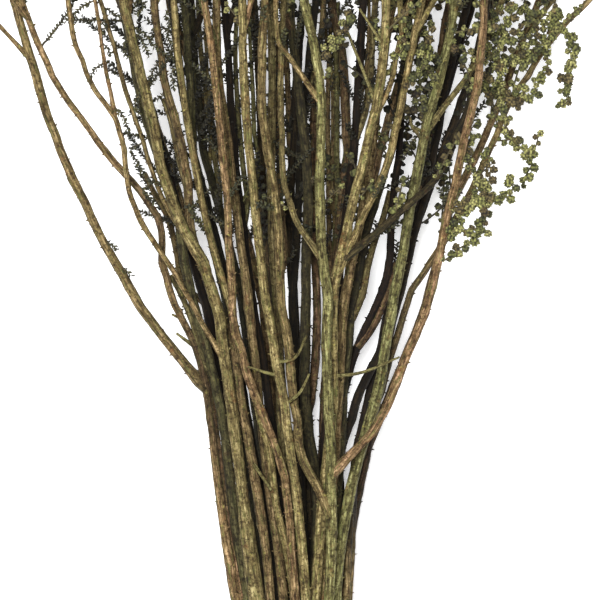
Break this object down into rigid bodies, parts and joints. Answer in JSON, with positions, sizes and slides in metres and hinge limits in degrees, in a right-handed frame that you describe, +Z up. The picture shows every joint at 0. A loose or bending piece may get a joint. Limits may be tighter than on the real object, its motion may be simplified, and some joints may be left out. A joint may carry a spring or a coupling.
{
  "type": "dried stoebe bunch",
  "caption": "Tied bunch of dried stoebe lying on its side: bare woody stems that fork and fan out into thin twigs with tiny leaves and round, lumpy bobbles.",
  "frame": {"origin": "middle of the bottom of the bunch's box, on the surface it lies on", "axes": "+Y runs along the stems from the cut ends to the tips, +X goes across the fan, and +Z is up from the surface"},
  "size_m": [0.3434, 0.6362, 0.1221],
  "materials": {
    "bark": "dry, fine-grained olive-brown bark, matt, with pale specks",
    "bobble": "dried olive-green bobbles of tiny packed scales, matt",
    "leaf": "tiny dried dark green leaves, matt",
    "cut_wood": "pale cut wood, matt",
    "twine": "twisted natural fibre, matt and slightly hairy"
  },
  "bodies": {
    "root": {"stem_01": "bark", "stem_02": "bark", "stem_03": "bark", "stem_04": "bark", "stem_05": "bark", "stem_06": "bark", "stem_07": "bark", "stem_08": "bark", "stem_09": "bark", "stem_10": "bark", "stem_11": "bark", "stem_12": "bark", "stem_13": "bark", "stem_14": "bark", "stem_15": "bark", "stem_16": "bark", "stem_17": "bark", "stem_18": "bark", "stem_19": "bark", "stem_20": "bark", "stem_21": "bark", "stem_22": "bark", "stem_23": "bark", "stem_24": "bark", "stem_25": "bark", "stem_26": "bark", "stem_27": "bark", "stem_28": "bark", "stem_29": "bark", "stem_30": "bark", "stem_31": "bark", "stem_32": "bark", "stem_33": "bark", "stem_34": "bark", "stem_35": "bark", "tie": "twine"}
  },
  "joints": []
}
